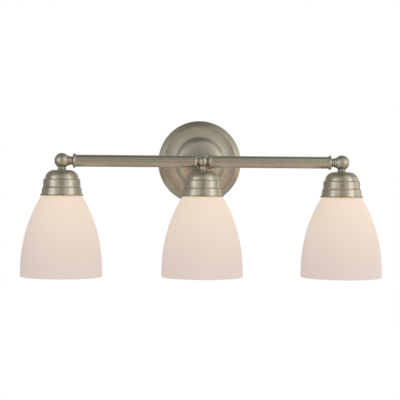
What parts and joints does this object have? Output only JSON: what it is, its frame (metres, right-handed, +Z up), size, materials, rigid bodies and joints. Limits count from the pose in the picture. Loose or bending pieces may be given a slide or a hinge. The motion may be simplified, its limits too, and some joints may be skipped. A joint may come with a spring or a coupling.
{
  "type": "vanity light bar",
  "caption": "Wall light bar: a reeded tube on a round stepped backplate, with ball joints and bell-shaped opal glass shades in stepped metal cups.",
  "frame": {"origin": "centre of the backplate, on the wall plane", "axes": "+X along the bar to the viewer's right, +Y into the wall, +Z up; the shades hang at -Y"},
  "size_m": [0.609, 0.1665, 0.2665],
  "materials": {
    "satin_nickel": "satin nickel plate, finely brushed round each piece",
    "zinc_steel": "bright zinc plate",
    "green_paint": "green-dyed zinc",
    "green_insulation": "glossy insulation",
    "black_insulation": "glossy insulation",
    "white_insulation": "glossy insulation",
    "white_porcelain": "glazed porcelain",
    "brass": "plain brass, slightly dulled",
    "opal_glass": "satin opal glass, nearly opaque",
    "frosted_lamp_glass": "frosted inside",
    "lamp_base": "rolled bright aluminium with a dark insulator"
  },
  "bodies": {
    "fixture": {"backplate": "satin_nickel", "crossbar": "zinc_steel", "crossbar_screws": "zinc_steel", "screw_locknuts": "zinc_steel", "cap_nuts": "satin_nickel", "ground_screw": "green_paint", "ground_wire": "green_insulation", "arm_tube": "satin_nickel", "arm_pipe": "zinc_steel", "arm_collar": "satin_nickel", "arm_base_collar": "satin_nickel", "arm_washer": "zinc_steel", "arm_locknut": "zinc_steel", "hub_ball": "satin_nickel", "live_leads": "black_insulation", "neutral_leads": "white_insulation", "left_bar_tube": "satin_nickel", "left_bar_pipe": "zinc_steel", "left_inner_coupling": "satin_nickel", "left_outer_coupling": "satin_nickel", "left_end_ball": "satin_nickel", "right_bar_tube": "satin_nickel", "right_bar_pipe": "zinc_steel", "right_inner_coupling": "satin_nickel", "right_outer_coupling": "satin_nickel", "right_end_ball": "satin_nickel", "left_neck_ring": "satin_nickel", "left_cup": "satin_nickel", "left_nipple": "zinc_steel", "left_nipple_nut": "zinc_steel", "left_socket_body": "white_porcelain", "left_socket_shell": "brass", "left_socket_contact": "brass", "centre_neck_ring": "satin_nickel", "centre_cup": "satin_nickel", "centre_nipple": "zinc_steel", "centre_nipple_nut": "zinc_steel", "centre_socket_body": "white_porcelain", "centre_socket_shell": "brass", "centre_socket_contact": "brass", "right_neck_ring": "satin_nickel", "right_cup": "satin_nickel", "right_nipple": "zinc_steel", "right_nipple_nut": "zinc_steel", "right_socket_body": "white_porcelain", "right_socket_shell": "brass", "right_socket_contact": "brass"},
    "left_shade_drop": {"left_shade": "opal_glass"},
    "left_ring": {"left_shade_ring": "satin_nickel"},
    "left_lamp": {"left_bulb_glass": "frosted_lamp_glass", "left_bulb_base": "lamp_base"},
    "centre_shade_drop": {"centre_shade": "opal_glass"},
    "centre_ring": {"centre_shade_ring": "satin_nickel"},
    "centre_lamp": {"centre_bulb_glass": "frosted_lamp_glass", "centre_bulb_base": "lamp_base"},
    "right_shade_drop": {"right_shade": "opal_glass"},
    "right_ring": {"right_shade_ring": "satin_nickel"},
    "right_lamp": {"right_bulb_glass": "frosted_lamp_glass", "right_bulb_base": "lamp_base"}
  },
  "joints": [
    {"name": "left_shade_lowers", "type": "slide", "parent": "fixture", "child": "left_shade_drop", "axis": [0, 0, -1], "range_m": [0, 0.0075]},
    {"name": "left_ring_turn", "type": "hinge", "parent": "left_shade_drop", "child": "left_ring", "pos_m": [-0.236, -0.098, -0.05], "axis": [0, 0, 1], "range_deg": [0, 1080]},
    {"name": "left_lamp_out", "type": "slide", "parent": "fixture", "child": "left_lamp", "axis": [0, 0, -1], "range_m": [0, 0.16]},
    {"name": "centre_shade_lowers", "type": "slide", "parent": "fixture", "child": "centre_shade_drop", "axis": [0, 0, -1], "range_m": [0, 0.0075]},
    {"name": "centre_ring_turn", "type": "hinge", "parent": "centre_shade_drop", "child": "centre_ring", "pos_m": [0, -0.098, -0.05], "axis": [0, 0, 1], "range_deg": [0, 1080]},
    {"name": "centre_lamp_out", "type": "slide", "parent": "fixture", "child": "centre_lamp", "axis": [0, 0, -1], "range_m": [0, 0.16]},
    {"name": "right_shade_lowers", "type": "slide", "parent": "fixture", "child": "right_shade_drop", "axis": [0, 0, -1], "range_m": [0, 0.0075]},
    {"name": "right_ring_turn", "type": "hinge", "parent": "right_shade_drop", "child": "right_ring", "pos_m": [0.236, -0.098, -0.05], "axis": [0, 0, 1], "range_deg": [0, 1080]},
    {"name": "right_lamp_out", "type": "slide", "parent": "fixture", "child": "right_lamp", "axis": [0, 0, -1], "range_m": [0, 0.16]}
  ],
  "couplings": [
    {"joint": "left_ring_turn", "follows": "left_shade_lowers", "rad_per_m": 2513.3},
    {"joint": "centre_ring_turn", "follows": "centre_shade_lowers", "rad_per_m": 2513.3},
    {"joint": "right_ring_turn", "follows": "right_shade_lowers", "rad_per_m": 2513.3}
  ]
}
